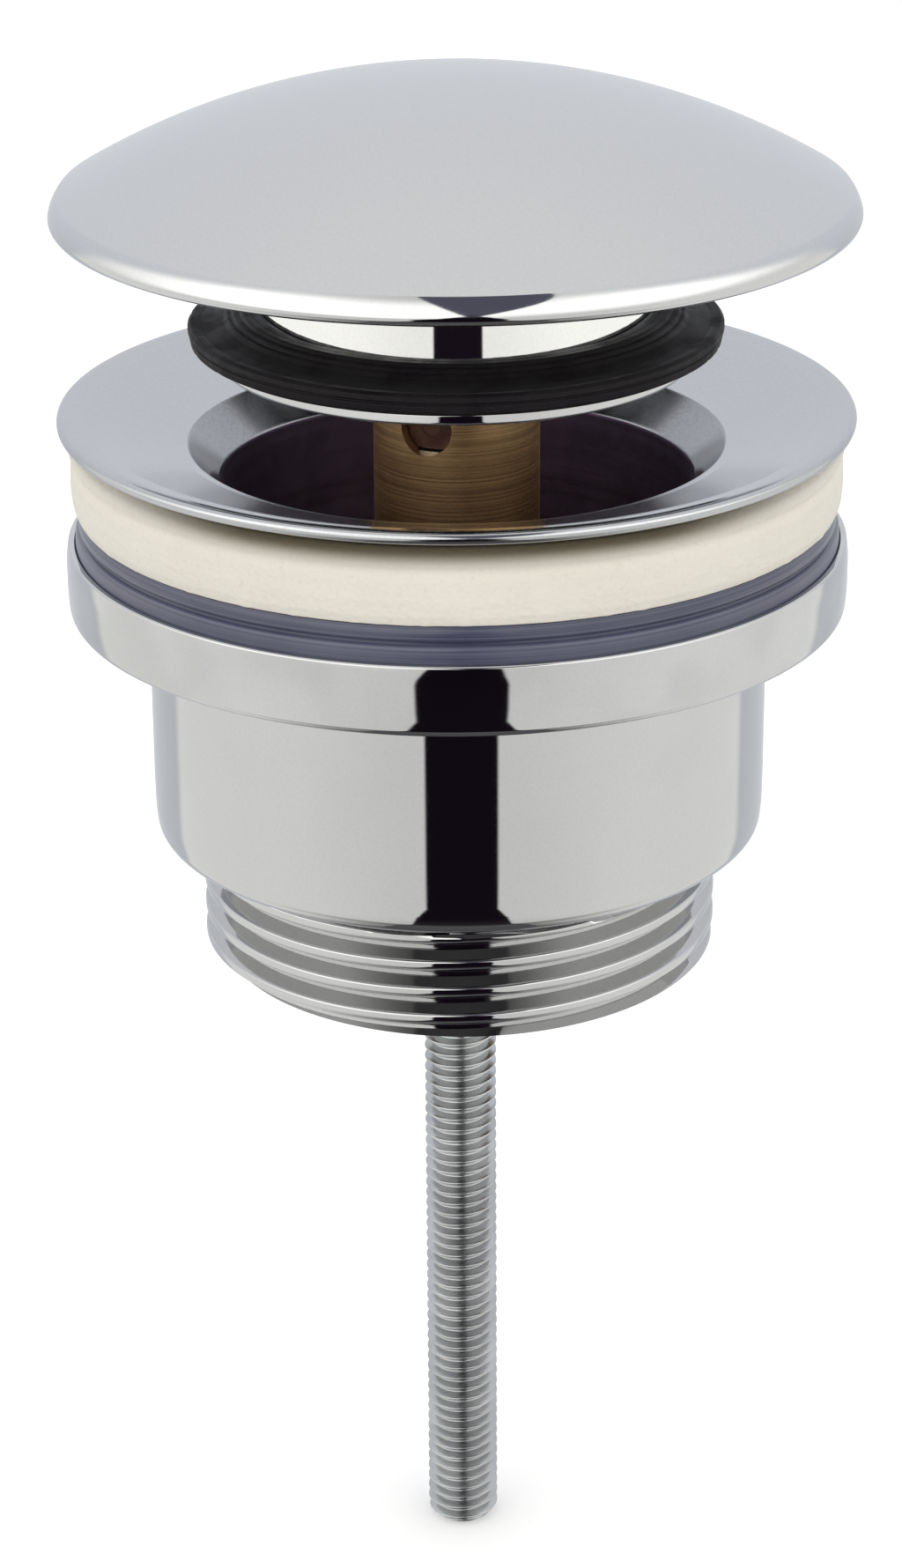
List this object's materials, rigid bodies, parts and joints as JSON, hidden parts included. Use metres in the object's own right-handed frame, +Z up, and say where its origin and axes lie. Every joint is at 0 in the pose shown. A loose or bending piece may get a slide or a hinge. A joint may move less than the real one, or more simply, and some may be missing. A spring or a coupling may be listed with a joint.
{
  "type": "basin waste",
  "caption": "Pop up basin waste: domed click plug with a rubber lip seal over a dished flange, clamped by a long bolt to a lower body with a pipe thread tail.",
  "frame": {"origin": "on the axis, in the plane where the foam washer's underside meets the basin", "axes": "+Z up along the axis towards the cap; -Y faces the viewer of the picture"},
  "size_m": [0.063, 0.063, 0.1277],
  "materials": {
    "chrome_cap": "polished",
    "chrome_plug": "polished",
    "chrome_flange": "polished",
    "chrome_body": "polished",
    "black_rubber": "satin",
    "grey_rubber": "satin",
    "cream_foam": "matte",
    "dark_plastic": "matte",
    "brass": "turned",
    "steel": "plain",
    "bolt_steel": "zinc plated"
  },
  "bodies": {
    "waste": {"flange": "chrome_flange", "upper_bridge": "brass", "foam_washer": "cream_foam", "cartridge_barrel": "brass", "barrel_o_ring": "black_rubber", "guide_bush": "brass", "retaining_clip": "steel", "return_spring": "steel", "bolt_washer": "steel"},
    "plug": {"dome_cap": "chrome_cap", "plug_body": "chrome_plug", "plug_seal": "black_rubber", "cam_plunger": "brass"},
    "follower": {"follower_ring": "dark_plastic", "follower_pin": "steel"},
    "bolt": {"centre_bolt": "bolt_steel"},
    "tail": {"lower_body": "chrome_body", "lower_bridge": "brass", "lower_gasket": "grey_rubber"}
  },
  "joints": [
    {"name": "plug_slide", "type": "slide", "parent": "waste", "child": "plug", "axis": [0, 0, 1], "range_m": [-0.0086, 0], "stiffness_N_per_m": 600, "springref_m": 0.012, "deforming": ["return_spring"]},
    {"name": "ring_turn", "type": "hinge", "parent": "waste", "child": "follower", "pos_m": [0, 0, 0.007], "axis": [0, 0, 1], "range_deg": [-50, 0]},
    {"name": "bolt_turn", "type": "hinge", "parent": "waste", "child": "bolt", "pos_m": [0, 0, -0.03], "axis": [0, 0, 1], "range_deg": [0, 18000]},
    {"name": "clamp_slide", "type": "slide", "parent": "waste", "child": "tail", "axis": [0, 0, 1], "range_m": [-0.05, 0]}
  ],
  "couplings": [
    {"joint": "ring_turn", "follows": "plug_slide", "rad_per_m": 101.47},
    {"joint": "bolt_turn", "follows": "clamp_slide", "rad_per_m": -6283.2}
  ]
}
